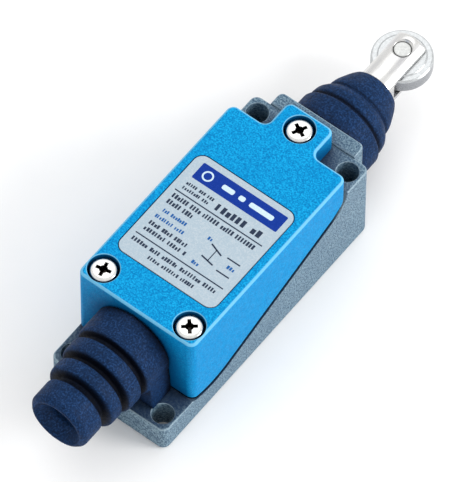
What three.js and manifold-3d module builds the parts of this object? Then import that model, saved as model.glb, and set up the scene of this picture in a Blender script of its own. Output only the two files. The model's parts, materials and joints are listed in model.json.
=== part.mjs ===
// Enclosed limit switch with a roller plunger, in millimetres.
// It lies on its mounting face: X across, Y towards the roller, Z out of the cover.
// The origin is the middle of the base's back face, halfway between the mounting holes.
import * as THREE from 'three';
import { mergeVertices } from 'three/addons/utils/BufferGeometryUtils.js';
import Module from 'manifold-3d';

const wasm = await Module();
wasm.setup();

// ---- driving dimensions ----
const BODY_W = 28;
const BASE_L = 64.5;
const COVER_TOP = 27.1;
const EAR_LOW = 7;
const EAR_HIGH = 21.2;
const CORNER_R = 1.6;
const HOLE_PITCH_X = 22;
const HOLE_PITCH_Y = 58;
const HOLE_R = 2.25;
const COVER_NEAR = -23.6;
const COVER_FAR = 24.8;
const TONGUE_W = 11.2;
const TONGUE_END = 32;
const GASKET_SHIFT = { y: -0.5, z: 0.7 };
const WALL = 2.4;
const FLOOR = 3.4;
const CAVITY_X = 11.4;
const CAVITY_FAR = 17.5;
const RECESS_R = 3.2;
const RECESS_DEPTH = 3;
const LOW_SCREW = { x: 10.4, y: -19.9 };
const TOP_SCREW_Y = 28;
const SCREW_R = 1.5;
const COVER_HEAD = { r: 2.95, h: 2.65 };
const LOW_SHANK = 19;
const TOP_SHANK = 7;
const TERMINAL_HEAD = { r: 2.1, h: 1.6, shankR: 1.25, shank: 5 };
const BLOCK_HEAD = { r: 2.3, h: 1.7, shankR: 1.3, shank: 14.8 };
const GROUND_HEAD = { r: 2.1, h: 1.5, shankR: 1.3, shank: 2.2 };
const GASKET_RIM = 0.12;
const PLUNGER_Z = 10.9;
const STEM_R = 3;
const FORK_R = 4.5;
const FORK_X = 3.25;
const LIP = { near: 51.2, far: 52.5 };
const FORK_END = 64.85;
const FORK_START = 48.9;
const SLOT_BOTTOM = 54.4;
const SLOT_W = 4.3;
const STEM_END = 14.5;
const ROLLER_Y = 61.25;
const ROLLER_R = 6.25;
const ROLLER_W = 4;
const PIN_R = 1.75;
const RUNNING_GAP = 0.06;
const COLLAR_X = 10.2;
const COLLAR_FAR = 35.6;
const COLLAR_TOP = 21.6;
const NECK_R = 7.2;
const NECK_FAR = 40.5;
const BUSH_R = 4.9;
const BUSH_NEAR = 25;
const CABLE_Z = 16.6;
const CABLE_R = 3.3;
const SEAT = { near: 12, far: 13.2 };
const BLOCK = { x: 10.6, near: -14.5, far: 7, low: 3.5, high: 14.9 };
const TERMINAL_Z = 11.2;
const TERMINAL_X = 7.3;
const BLOCK_SCREW = { x: 8.2, y: -4.6 };
const GROUND = { x: -5.5, y: -16.9 };
const PLATE = { x0: -11.8, x1: 11.8, y0: -14.7, y1: 12.1, r: 2, sunk: 0.3, proud: 0.1 };
const BOOT = {
  end: -47.7, inner: -19.3, capR: 6.7, ring3R: 7.75, ring2R: 8.4, domeR: 8.7, mouthR: 5.3, mouthL: 2.8,
};
const NECK_HALF = 6.4;
const FLANGE_HALF = 7.6;
const CLIP = { near: 24, far: 24.95 };
const SEAL = { near: 39.8, far: 41.3, outer: 4.1 };
const PUSH = { tip: 10.5, head: 15.1 };
const CARRIER = { x: 2.6, low: 8.3, high: 13.5, near: -9, far: 5.9 };

// ---- materials ----
function finish(color, roughness, metalness) {
  return new THREE.MeshStandardMaterial({ color, roughness, metalness });
}
const finishes = {
  casting: () => finish(0x7c93a2, 0.55, 0.5),
  blue: () => finish(0x0b97d4, 0.42, 0.1),
  rubber: () => finish(0x1a2c4c, 0.7, 0),
  steel: () => finish(0xe6e8e6, 0.22, 0.95),
  brass: () => finish(0xc9a04c, 0.35, 0.9),
  label: () => finish(0xc6e2ec, 0.4, 0.3),
  block: () => finish(0x24262a, 0.5, 0),
  red: () => finish(0xb5362c, 0.5, 0),
};

// ---- solids ----
const AXIS_X = new THREE.Vector3(1, 0, 0);
const AXIS_Y = new THREE.Vector3(0, 1, 0);
const AXIS_Z = new THREE.Vector3(0, 0, 1);
const TURN = new THREE.Matrix4().makeBasis(AXIS_Y, AXIS_Z, AXIS_X);

function signedVolume(points, index) {
  const a = new THREE.Vector3();
  const b = new THREE.Vector3();
  const c = new THREE.Vector3();
  let total = 0;
  for (let i = 0; i < index.length; i += 3) {
    a.fromArray(points, index[i] * 3);
    b.fromArray(points, index[i + 1] * 3);
    c.fromArray(points, index[i + 2] * 3);
    total += a.dot(b.cross(c));
  }
  return total;
}

function solid(geometry) {
  const bare = geometry.clone();
  bare.deleteAttribute('normal');
  bare.deleteAttribute('uv');
  const merged = mergeVertices(bare, 1e-4);
  const raw = merged.index.array;
  const kept = [];
  for (let i = 0; i < raw.length; i += 3) {
    const [a, b, c] = [raw[i], raw[i + 1], raw[i + 2]];
    if (a !== b && b !== c && c !== a) kept.push(a, b, c);
  }
  const points = merged.attributes.position.array;
  if (signedVolume(points, kept) < 0) kept.reverse();
  const mesh = new wasm.Mesh({ numProp: 3, vertProperties: points, triVerts: new Uint32Array(kept) });
  mesh.merge();
  return new wasm.Manifold(mesh);
}

function join(...solids) {
  return solids.reduce((whole, next) => whole.add(next));
}

function cut(body, ...tools) {
  return tools.reduce((left, tool) => left.subtract(tool), body);
}

function box(x0, x1, y0, y1, z0, z1) {
  const geometry = new THREE.BoxGeometry(x1 - x0, y1 - y0, z1 - z0);
  geometry.translate((x0 + x1) / 2, (y0 + y1) / 2, (z0 + z1) / 2);
  return solid(geometry);
}

// Upright cylinder or cone, along Z.
function post(x, y, z0, z1, r, rTop = r, sides = 24) {
  const geometry = new THREE.CylinderGeometry(rTop, r, z1 - z0, sides);
  geometry.applyMatrix4(TURN);
  geometry.translate(x, y, (z0 + z1) / 2);
  return solid(geometry);
}

// Cylinder lying along Y.
function rod(y0, y1, r, x = 0, z = PLUNGER_Z, sides = 28) {
  const geometry = new THREE.CylinderGeometry(r, r, y1 - y0, sides);
  geometry.translate(x, (y0 + y1) / 2, z);
  return solid(geometry);
}

// Turned piece about an axis along Y; the profile is a list of [radius, y].
function turned(profile, z = 0, sides = 28) {
  const points = profile.map(([r, y]) => new THREE.Vector2(r, y));
  const geometry = new THREE.LatheGeometry(points, sides);
  geometry.translate(0, 0, z);
  return solid(geometry);
}

// Turned piece about an axis along Z; the profile is a list of [radius, z].
function turnedUpright(profile, sides = 36) {
  const points = profile.map(([r, z]) => new THREE.Vector2(r, z));
  const geometry = new THREE.LatheGeometry(points, sides);
  geometry.applyMatrix4(TURN);
  return solid(geometry);
}

// Plan outline pulled up from z0 to z1.
function prismUp(shape, z0, z1, arcSteps = 2) {
  const options = { depth: z1 - z0, bevelEnabled: false, curveSegments: arcSteps };
  const geometry = new THREE.ExtrudeGeometry(shape, options);
  geometry.translate(0, 0, z0);
  return solid(geometry);
}

// Side outline in Y and Z pulled across from x0 to x1.
function prismAcross(shape, x0, x1) {
  const geometry = new THREE.ExtrudeGeometry(shape, { depth: x1 - x0, bevelEnabled: false });
  geometry.applyMatrix4(TURN);
  geometry.translate(x0, 0, 0);
  return solid(geometry);
}

// Rectangle with rounded corners.
function roundedRect(x0, x1, y0, y1, r) {
  const shape = new THREE.Shape();
  shape.moveTo(x0 + r, y0);
  shape.lineTo(x1 - r, y0);
  shape.absarc(x1 - r, y0 + r, r, -Math.PI / 2, 0);
  shape.lineTo(x1, y1 - r);
  shape.absarc(x1 - r, y1 - r, r, 0, Math.PI / 2);
  shape.lineTo(x0 + r, y1);
  shape.absarc(x0 + r, y1 - r, r, Math.PI / 2, Math.PI);
  shape.lineTo(x0, y0 + r);
  shape.absarc(x0 + r, y0 + r, r, Math.PI, Math.PI * 1.5);
  return shape;
}

class Helix extends THREE.Curve {
  constructor(radius, turns, length) {
    super();
    Object.assign(this, { radius, turns, length });
  }
  getPoint(t, target = new THREE.Vector3()) {
    const angle = t * this.turns * Math.PI * 2;
    return target.set(this.radius * Math.cos(angle), t * this.length, this.radius * Math.sin(angle));
  }
}

// Coil spring whose axis lies along Y, between its two outer wire edges.
function coilSpring(y0, y1, radius, wire, turns) {
  const section = new THREE.Shape();
  section.absarc(0, 0, wire / 2, 0, Math.PI * 2);
  const path = new Helix(radius, turns, y1 - y0 - wire);
  const options = { extrudePath: path, steps: turns * 9, curveSegments: 2, bevelEnabled: false };
  const geometry = new THREE.ExtrudeGeometry(section, options);
  geometry.translate(0, y0 + wire / 2, PLUNGER_Z);
  return solid(geometry);
}

const object = new THREE.Group();

function piece(name, body, material, x = 0, y = 0, z = 0) {
  const { vertProperties, triVerts } = body.getMesh();
  const geometry = new THREE.BufferGeometry();
  geometry.setAttribute('position', new THREE.BufferAttribute(vertProperties, 3));
  geometry.setIndex(new THREE.BufferAttribute(triVerts, 1));
  geometry.computeVertexNormals();
  const mesh = new THREE.Mesh(geometry, material);
  mesh.name = name;
  mesh.position.set(x, y, z);
  object.add(mesh);
}

// ---- parting line between base and cover ----
// In side view it dips behind the low ears, climbs as a straight ramp and turns up at the high ears.
function partingLine(dy, dz) {
  const at = (y, z) => new THREE.Vector2(y + dy, z + dz);
  const dip = new THREE.QuadraticBezierCurve(at(COVER_NEAR, 6.9), at(-17.5, 4.6), at(-12, 6.3));
  const rise = new THREE.QuadraticBezierCurve(at(20, 16.15), at(24.1, 17.4), at(COVER_FAR + 0.5, EAR_HIGH));
  return [...dip.getPoints(5), ...rise.getPoints(5)];
}

// Side outline of the band between the base and the cover, with the flat part under the tongue.
function bandOutline() {
  const slack = 0.06;
  const low = partingLine(-slack, slack);
  const high = partingLine(GASKET_SHIFT.y + slack, GASKET_SHIFT.z - slack).reverse();
  const far = TONGUE_END + 1;
  const flat = [
    new THREE.Vector2(far, EAR_HIGH + slack),
    new THREE.Vector2(far, EAR_HIGH + GASKET_SHIFT.z - slack),
  ];
  return new THREE.Shape([...low, ...flat, ...high]);
}

// Plan outline of the cover: the main body with a narrower tongue between the high ears.
function coverPlan(inset) {
  const half = BODY_W / 2 - inset;
  const near = COVER_NEAR + inset;
  const far = COVER_FAR - inset;
  const tongue = TONGUE_W / 2 - inset;
  const end = TONGUE_END - inset;
  const fillet = CORNER_R + inset;
  const r = Math.max(CORNER_R - inset, 0.3);
  const shape = new THREE.Shape();
  shape.moveTo(-half + r, near);
  shape.lineTo(half - r, near);
  shape.absarc(half - r, near + r, r, -Math.PI / 2, 0);
  shape.lineTo(half, far - r);
  shape.absarc(half - r, far - r, r, 0, Math.PI / 2);
  shape.lineTo(tongue + fillet, far);
  shape.absarc(tongue + fillet, far + fillet, fillet, -Math.PI / 2, -Math.PI, true);
  shape.lineTo(tongue, end - r);
  shape.absarc(tongue - r, end - r, r, 0, Math.PI / 2);
  shape.lineTo(-tongue + r, end);
  shape.absarc(-tongue + r, end - r, r, Math.PI / 2, Math.PI);
  shape.lineTo(-tongue, far + fillet);
  shape.absarc(-tongue - fillet, far + fillet, fillet, 0, -Math.PI / 2, true);
  shape.lineTo(-half + r, far);
  shape.absarc(-half + r, far - r, r, Math.PI / 2, Math.PI);
  shape.lineTo(-half, near + r);
  shape.absarc(-half + r, near + r, r, Math.PI, Math.PI * 1.5);
  return shape;
}

// Arch about the cable axis: a round top, and legs that run down to zLow and may flare out.
function arch(y0, y1, r, zLow, flare = 0) {
  const foot = zLow - CABLE_Z;
  const shape = new THREE.Shape();
  shape.moveTo(-r - flare, foot);
  shape.lineTo(-r, 0);
  shape.absarc(0, 0, r, Math.PI, 0, true);
  shape.lineTo(r + flare, foot);
  const options = { depth: y1 - y0, bevelEnabled: false, curveSegments: 8 };
  const geometry = new THREE.ExtrudeGeometry(shape, options);
  geometry.applyMatrix4(new THREE.Matrix4().makeBasis(AXIS_X, AXIS_Z, AXIS_Y.clone().negate()));
  geometry.translate(0, y1, CABLE_Z);
  return solid(geometry);
}

const bothSides = [-1, 1];
const lowScrewSpots = bothSides.map((side) => [side * LOW_SCREW.x, LOW_SCREW.y]);
const screwSpots = [...lowScrewSpots, [0, TOP_SCREW_Y]];

// ---- base: thin plate at the cable end, thick block with the plunger bore at the head end ----
function baseBlank() {
  const half = BASE_L / 2;
  const outline = new THREE.Shape([
    new THREE.Vector2(-half, 0),
    new THREE.Vector2(half, 0),
    new THREE.Vector2(half, EAR_HIGH),
    ...partingLine(0, 0).reverse(),
    new THREE.Vector2(COVER_NEAR, EAR_LOW),
    new THREE.Vector2(-half, EAR_LOW),
  ]);
  const plan = roundedRect(-BODY_W / 2, BODY_W / 2, -half, half, CORNER_R);
  const blank = prismAcross(outline, -BODY_W / 2, BODY_W / 2);
  const collar = prismUp(roundedRect(-COLLAR_X, COLLAR_X, half - 3, COLLAR_FAR, 1.2), 0, COLLAR_TOP);
  return join(
    blank.intersect(prismUp(plan, -1, EAR_HIGH + 1)),
    cut(collar, box(-BODY_W, BODY_W, 0, half, EAR_HIGH, COVER_TOP)),
    rod(COLLAR_FAR - 1, NECK_FAR, NECK_R),
  );
}

function baseHollows() {
  const near = COVER_NEAR + 2.1;
  const cavity = box(-CAVITY_X, CAVITY_X, near, CAVITY_FAR, FLOOR, COVER_TOP);
  const corners = bothSides.map((side) => {
    const [inner, outer] = [side * 8, side * (CAVITY_X + 1)];
    return box(Math.min(inner, outer), Math.max(inner, outer), near - 1, LOW_SCREW.y + 2.7, 0, COVER_TOP);
  });
  const ribs = bothSides.flatMap((side) => {
    const [inner, outer] = [side * 9, side * (CAVITY_X + 1)];
    const [x0, x1] = [Math.min(inner, outer), Math.max(inner, outer)];
    return [
      box(x0, x1, SEAT.near - 1.6, SEAT.near - 0.1, 0, 12),
      box(x0, x1, SEAT.far + 0.1, SEAT.far + 1.6, 0, 12),
    ];
  });
  const chamberR = STEM_R + 1.9;
  const chamber = join(
    rod(CAVITY_FAR - 1, BUSH_NEAR, chamberR),
    box(-chamberR, chamberR, CAVITY_FAR - 1, CAVITY_FAR + 4, PLUNGER_Z, COVER_TOP),
  );
  return [cut(cavity, ...corners, ...ribs), chamber, rod(BUSH_NEAR - 1, NECK_FAR + 1, BUSH_R + 0.05)];
}

function baseHoles() {
  const mounting = bothSides.flatMap((sx) => bothSides.map((sy) =>
    post((sx * HOLE_PITCH_X) / 2, (sy * HOLE_PITCH_Y) / 2, -1, COVER_TOP, HOLE_R, HOLE_R, 32)));
  const threads = lowScrewSpots.map(([x, y]) => post(x, y, 1.4, COVER_TOP, SCREW_R + 0.1, SCREW_R + 0.1, 12));
  const topThread = post(0, TOP_SCREW_Y, 16.6, COVER_TOP, SCREW_R + 0.1, SCREW_R + 0.1, 20);
  const blockThreads = bothSides.map((side) =>
    post(side * BLOCK_SCREW.x, BLOCK_SCREW.y, 1, FLOOR + 1, 1.4, 1.4, 16));
  const groundThread = post(GROUND.x, GROUND.y, 1, FLOOR + 1, 1.4, 1.4, 16);
  return [...mounting, ...threads, topThread, ...blockThreads, groundThread];
}

// Ring groove in the neck that the head boot's inner bead snaps into.
function neckGroove() {
  return turned([[NECK_R - 0.7, 36.6], [NECK_R + 1, 36.6], [NECK_R + 1, 38.2], [NECK_R - 0.7, 38.2],
    [NECK_R - 0.7, 36.6]], PLUNGER_Z);
}

function baseHousing() {
  return cut(baseBlank(), ...baseHollows(), ...baseHoles(), neckGroove());
}

// ---- cover: deep shell with the arch for the cable boot and three screw recesses ----
function coverBlank() {
  const far = TONGUE_END + 1;
  const near = COVER_NEAR - 1;
  const line = partingLine(GASKET_SHIFT.y, GASKET_SHIFT.z);
  const outline = new THREE.Shape([
    new THREE.Vector2(near, line[0].y),
    ...line,
    new THREE.Vector2(far, EAR_HIGH + GASKET_SHIFT.z),
    new THREE.Vector2(far, COVER_TOP),
    new THREE.Vector2(near, COVER_TOP),
  ]);
  return prismAcross(outline, -BODY_W / 2, BODY_W / 2).intersect(prismUp(coverPlan(0), 0, COVER_TOP + 1));
}

function coverHollow() {
  const ceiling = COVER_TOP - WALL;
  const room = box(-BODY_W / 2 + WALL, BODY_W / 2 - WALL, COVER_NEAR + 2.2, COVER_FAR - 2.2, 0, ceiling);
  const columns = lowScrewSpots.flatMap(([x, y]) => [
    post(x, y, 0, COVER_TOP, 2.35),
    post(x, y, ceiling - 2.2, COVER_TOP, RECESS_R + 0.9),
  ]);
  return cut(room, ...columns);
}

function screwRecess([x, y]) {
  const seat = COVER_TOP - RECESS_DEPTH;
  return join(
    post(x, y, seat, COVER_TOP + 1, RECESS_R, RECESS_R, 36),
    post(x, y, 0, COVER_TOP, SCREW_R + 0.2, SCREW_R + 0.2, 20),
  );
}

function frontCover() {
  const bootGate = arch(COVER_NEAR - 1, COVER_NEAR + 3, NECK_HALF + 0.3, 0);
  const pocket = roundedRect(
    PLATE.x0 - 0.25, PLATE.x1 + 0.25, PLATE.y0 - 0.25, PLATE.y1 + 0.25, PLATE.r + 0.25);
  return cut(
    coverBlank(),
    coverHollow(),
    bootGate,
    prismUp(pocket, COVER_TOP - PLATE.sunk, COVER_TOP + 1),
    ...screwSpots.map(screwRecess),
  );
}

function namePlate() {
  const outline = roundedRect(PLATE.x0, PLATE.x1, PLATE.y0, PLATE.y1, PLATE.r);
  return prismUp(outline, COVER_TOP - PLATE.sunk + 0.05, COVER_TOP + PLATE.proud);
}

// Rubber gasket: a thin frame that follows the parting line, with an eye round each cover screw.
function coverGasket() {
  const band = prismAcross(bandOutline(), -BODY_W / 2, BODY_W / 2);
  const room = box(-CAVITY_X - 0.2, CAVITY_X + 0.2, COVER_NEAR + 2.2, COVER_FAR - 2, -1, COVER_TOP);
  const eyes = lowScrewSpots.map(([x, y]) => post(x, y, -2, COVER_TOP + 1, 3));
  const gate = box(-NECK_HALF - 0.6, NECK_HALF + 0.6, COVER_NEAR - 1, COVER_NEAR + 4, -1, COVER_TOP);
  const flangeGate = box(
    -FLANGE_HALF - 0.3, FLANGE_HALF + 0.3, COVER_NEAR + 2.3, BOOT.inner + 0.3, -1, COVER_TOP);
  const frame = prismUp(coverPlan(GASKET_RIM), -1, COVER_TOP);
  const holes = screwSpots.map(([x, y]) => post(x, y, -2, COVER_TOP, SCREW_R + 0.4));
  return cut(band.intersect(cut(frame, cut(room, ...eyes))), gate, flangeGate, ...holes);
}

// ---- screws: pan head with a cross recess, standing on z = 0 ----
function panScrew({ r: headR, h: headH, shankR, shank }, sides = 12) {
  const head = turnedUpright([
    [0, -shank], [shankR * 0.75, -shank], [shankR, -shank + shankR * 0.4], [shankR, 0], [headR, 0],
    [headR, headH * 0.62], [headR * 0.93, headH * 0.88], [headR * 0.74, headH], [0, headH],
  ], sides);
  const slotW = headR * 0.13;
  const slotL = headR * 0.56;
  const slots = [
    box(-slotL, slotL, -slotW, slotW, headH * 0.35, headH + 1),
    box(-slotW, slotW, -slotL, slotL, headH * 0.35, headH + 1),
  ];
  return cut(head, ...slots);
}

// ---- rubber boots ----
// Cable boot: arch-shaped foot against the cover, shrinking rings, and an end cap with the cable hole.
function cableBoot() {
  const foot = EAR_LOW + 0.2;
  const { end, inner, capR, ring2R, ring3R, domeR, mouthR, mouthL } = BOOT;
  const back = COVER_NEAR - 0.3;
  const rings = turned([
    [0, end], [capR - 0.8, end], [capR, end + 0.9], [capR, -42.3],
    [capR - 1.3, -41.8], [capR - 1.3, -40.7], [ring3R - 0.25, -40.2], [ring3R, -39.8], [ring3R, -37.5],
    [ring3R - 1.4, -37], [ring3R - 1.4, -36.1], [ring2R - 0.3, -35.5], [ring2R, -35.1], [ring2R, -32.4],
    [ring2R - 1.3, -31.9], [ring2R - 1.3, -31], [domeR - 0.3, -30.4], [domeR, -29.9], [domeR, back],
    [0, back],
  ], CABLE_Z, 28);
  const skirt = arch(-29.6, back, domeR - 0.3, foot, 0.7);
  const neck = arch(COVER_NEAR - 0.6, COVER_NEAR + 2.6, NECK_HALF, foot);
  const flange = arch(COVER_NEAR + 2.5, inner, FLANGE_HALF, FLOOR + 1.2);
  const mouth = turned([[0, end - 1], [mouthR, end - 1], [mouthR, end + 0.3], [CABLE_R, end + mouthL],
    [0, end + mouthL]], CABLE_Z, 20);
  return cut(join(rings, skirt, neck, flange), rod(end - 1, inner + 1, CABLE_R, 0, CABLE_Z, 20), mouth);
}

// Head boot: bellows from the neck's groove to the groove below the fork.
function headBoot() {
  const low = COLLAR_FAR + 0.3;
  const lipR = FORK_R - 0.4;
  const [lipNear, lipFar] = [LIP.near + 0.15, LIP.far - 0.1];
  return turned([
    [NECK_R + 0.25, low], [9.55, low], [9.55, 41.6], [8.4, 42.2], [8.95, 42.8], [8.7, 44.6], [8.1, 45.7],
    [7.3, 46.4], [7.45, 47], [7.1, 48.3], [6.5, 49.7], [5.7, 51.3], [FORK_R + 0.45, lipFar], [lipR, lipFar],
    [lipR, lipNear], [FORK_R + 0.25, lipNear - 0.05], [5.2, 49.8], [6, 48], [6.1, 46.8], [6.9, 45],
    [7.6, 43.4], [8.2, 41], [NECK_R + 0.25, 40.2], [NECK_R + 0.25, 38],
    [NECK_R - 0.4, 37.8], [NECK_R - 0.4, 37], [NECK_R + 0.25, 36.8], [NECK_R + 0.25, low],
  ], PLUNGER_Z, 24);
}

// ---- plunger ----
// Turned stem that widens to the fork, which has a flat on each side;
// the inner end is bored for the overtravel spring.
function plungerFork() {
  const bar = turned([
    [0, STEM_END], [STEM_R - 0.3, STEM_END], [STEM_R, STEM_END + 0.3], [STEM_R, CLIP.near - 0.1],
    [STEM_R - 0.5, CLIP.near - 0.1], [STEM_R - 0.5, CLIP.far + 0.05], [STEM_R, CLIP.far + 0.05],
    [STEM_R, FORK_START], [FORK_R - 0.4, FORK_START], [FORK_R, FORK_START + 0.4], [FORK_R, LIP.near - 0.1],
    [FORK_R - 0.65, LIP.near], [FORK_R - 0.65, LIP.far], [FORK_R, LIP.far + 0.05], [FORK_R, FORK_END - 0.5],
    [FORK_R - 0.5, FORK_END], [0, FORK_END],
  ], PLUNGER_Z, 24);
  const slot = box(-FORK_R - 1, FORK_R + 1, SLOT_BOTTOM, FORK_END + 1,
    PLUNGER_Z - SLOT_W / 2, PLUNGER_Z + SLOT_W / 2);
  const flats = bothSides.map((side) => sideBox(
    side, FORK_X, FORK_R + 1, LIP.far, FORK_END + 1, PLUNGER_Z - FORK_R - 1, PLUNGER_Z + FORK_R + 1));
  const eyeR = PIN_R + 0.1;
  const eye = post(0, ROLLER_Y, 0, COVER_TOP, eyeR, eyeR, 28);
  const forkTop = PLUNGER_Z + FORK_R;
  const chamfer = post(0, ROLLER_Y, forkTop - 0.35, forkTop + 0.65, eyeR, eyeR + 1);
  const bore = rod(PUSH.head + 0.4, 22.5, 1.9, 0, PLUNGER_Z, 20);
  const mouth = rod(STEM_END - 1, PUSH.head + 1, 1.35, 0, PLUNGER_Z, 20);
  return cut(bar, slot, ...flats, eye, chamfer, bore, mouth);
}

function rollerBody() {
  const half = ROLLER_W / 2;
  const hub = 2.9;
  return turnedUpright([
    [PIN_R + 0.1, -half - 0.08], [hub, -half - 0.08], [hub, -half], [ROLLER_R - 1.5, -half],
    [ROLLER_R - 1.3, -half + 0.25], [ROLLER_R - 0.35, -half + 0.25], [ROLLER_R, -half + 0.6],
    [ROLLER_R, half - 0.6], [ROLLER_R - 0.35, half - 0.25], [ROLLER_R - 1.3, half - 0.25],
    [ROLLER_R - 1.5, half], [hub, half], [hub, half + 0.08], [PIN_R + 0.1, half + 0.08],
    [PIN_R + 0.1, -half - 0.08],
  ], 32);
}

function rollerPin() {
  const half = FORK_R - 0.35;
  return turnedUpright([
    [0, -half], [PIN_R - 0.35, -half], [PIN_R, -half + 0.3],
    [PIN_R, half - 0.3], [PIN_R - 0.35, half], [0, half],
  ], 28);
}

// Open ring that snaps into the stem's groove and stops the plunger against the bush.
function plungerClip() {
  const ring = turned([
    [STEM_R - 0.4, CLIP.near], [STEM_R + 1.6, CLIP.near], [STEM_R + 1.6, CLIP.far], [STEM_R - 0.4, CLIP.far],
    [STEM_R - 0.4, CLIP.near],
  ], PLUNGER_Z, 28);
  return cut(ring, box(-1.9, 1.9, CLIP.near - 1, CLIP.far + 1, 0, PLUNGER_Z));
}

function plungerBush() {
  const inner = STEM_R + RUNNING_GAP;
  const end = NECK_FAR + 1.1;
  return turned([
    [inner, BUSH_NEAR], [BUSH_R, BUSH_NEAR], [BUSH_R, NECK_FAR + 0.05], [BUSH_R + 1, NECK_FAR + 0.05],
    [BUSH_R + 1, end], [SEAL.outer + 0.05, end], [SEAL.outer + 0.05, SEAL.near - 0.05],
    [inner, SEAL.near - 0.05], [inner, BUSH_NEAR],
  ], PLUNGER_Z);
}

function plungerSeal() {
  const inner = STEM_R + RUNNING_GAP;
  const middle = (inner + SEAL.outer) / 2;
  return turned([
    [inner, SEAL.near + 0.4], [middle, SEAL.near], [SEAL.outer, SEAL.near + 0.4],
    [SEAL.outer, SEAL.far - 0.4], [middle, SEAL.far], [inner, SEAL.far - 0.4], [inner, SEAL.near + 0.4],
  ], PLUNGER_Z);
}

function springSeat() {
  const plate = box(-10.6, 10.6, SEAT.near, SEAT.far, FLOOR + 0.05, 16.6);
  return cut(plate, rod(SEAT.near - 1, SEAT.far + 1, STEM_R + 0.25));
}

function pushPin() {
  return turned([
    [0, PUSH.tip], [0.8, PUSH.tip], [1.2, PUSH.tip + 0.4], [1.2, PUSH.head + 0.5], [1.75, PUSH.head + 0.5],
    [1.75, PUSH.head + 1.5], [0, PUSH.head + 1.5],
  ], PLUNGER_Z, 20);
}

// ---- contact block ----
function terminalSpots() {
  return bothSides.flatMap((side) => [
    { name: side < 0 ? 'nc_left' : 'nc_right', side, y: 3.4, far: true },
    { name: side < 0 ? 'no_left' : 'no_right', side, y: -10.6, far: false },
  ]);
}

function sideBox(side, inner, outer, y0, y1, z0, z1) {
  const [a, b] = [side * inner, side * outer];
  return box(Math.min(a, b), Math.max(a, b), y0, y1, z0, z1);
}

function blockCase() {
  const { x, near, far, low, high } = BLOCK;
  const top = high + 1;
  const body = box(-x, x, near, far, low, high);
  const floor = CARRIER.low - 0.15;
  const hollows = [
    box(-CARRIER.x - 0.15, CARRIER.x + 0.15, -13.3, 6, floor, top),
    box(-6.4, 6.4, -2.9, 1.9, floor, top),
    rod(5, far + 1, 1.6),
  ];
  const pockets = terminalSpots().flatMap(({ side, y }) => [
    sideBox(side, 3.9, x + 1, y - 2.6, y + 2.6, TERMINAL_Z - 0.05, top),
    post(side * TERMINAL_X, y, low + 2, top, 1.35, 1.35, 16),
  ]);
  const links = bothSides.flatMap((side) => [
    sideBox(side, 3.9, 6.1, -8.4, -2.4, TERMINAL_Z - 0.05, top),
    sideBox(side, 3.9, 6.1, 0.6, 2, TERMINAL_Z - 0.05, top),
    post(side * BLOCK_SCREW.x, BLOCK_SCREW.y, 0, top, 1.6, 1.6, 16),
  ]);
  return cut(body, ...hollows, ...pockets, ...links);
}

function blockCover() {
  const z0 = BLOCK.high + 0.1;
  const z1 = z0 + 1.3;
  const spine = box(-3.6, 3.6, BLOCK.near, BLOCK.far, z0, z1);
  const arms = box(-BLOCK.x, BLOCK.x, -7.6, 0.4, z0, z1);
  const holes = bothSides.map((side) =>
    post(side * BLOCK_SCREW.x, BLOCK_SCREW.y, 0, COVER_TOP, 1.6, 1.6, 16));
  return cut(join(spine, arms), ...holes);
}

// Terminal strip: a screw pad, a link along the case and a tab that carries the fixed contact.
function terminal({ side, y, far }) {
  const [z0, z1] = [TERMINAL_Z, TERMINAL_Z + 0.8];
  const tab = far ? [0.8, 1.6] : [-2.6, -1.8];
  const link = far ? [0.8, 2] : [y, -1.8];
  const pad = sideBox(side, 4.1, 10.3, y - 2.3, y + 2.3, z0, z1);
  const strip = sideBox(side, 4.1, 5.9, link[0], link[1], z0, z1);
  const hole = post(side * TERMINAL_X, y, z0 - 1, z1 + 1, 1.5, 1.5, 16);
  return cut(join(pad, strip, sideBox(side, 4.1, 5.9, tab[0], tab[1], CARRIER.low + 0.6, z1)), hole);
}

// Carrier with the button on its end and a window for the moving bridge.
function contactCarrier() {
  const { x, low, high, near, far } = CARRIER;
  const body = join(box(-x, x, near, far, low, high), rod(far - 1, PUSH.tip - 0.1, 1.5, 0, PLUNGER_Z, 20));
  const window = box(-x - 1, x + 1, -4.2, 1.6, PLUNGER_Z - 1.6, PLUNGER_Z + 1.6);
  return cut(body, window);
}

function contactBridge() {
  const bar = box(-5.9, 5.9, -0.35, 0.45, PLUNGER_Z - 1, PLUNGER_Z + 1);
  const rivets = bothSides.map((side) => rod(-0.65, 0.75, 0.8, side * 5, PLUNGER_Z, 16));
  return join(bar, ...rivets);
}

// ---- the object ----
piece('base_housing', baseHousing(), finishes.casting());
piece('front_cover', frontCover(), finishes.blue());
piece('cover_gasket', coverGasket(), finishes.rubber());
piece('nameplate', namePlate(), finishes.label());
piece('cable_boot', cableBoot(), finishes.rubber());
piece('head_boot', headBoot(), finishes.rubber());

const coverScrewZ = COVER_TOP - RECESS_DEPTH + 0.05;
const coverScrews = [
  { side: 'left', x: -LOW_SCREW.x, y: LOW_SCREW.y, shank: LOW_SHANK },
  { side: 'right', x: LOW_SCREW.x, y: LOW_SCREW.y, shank: LOW_SHANK },
  { side: 'top', x: 0, y: TOP_SCREW_Y, shank: TOP_SHANK },
];
for (const { side, x, y, shank } of coverScrews) {
  const screw = panScrew({ ...COVER_HEAD, shankR: SCREW_R, shank }, 20);
  piece(`cover_screw_${side}`, screw, finishes.steel(), x, y, coverScrewZ);
}

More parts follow.
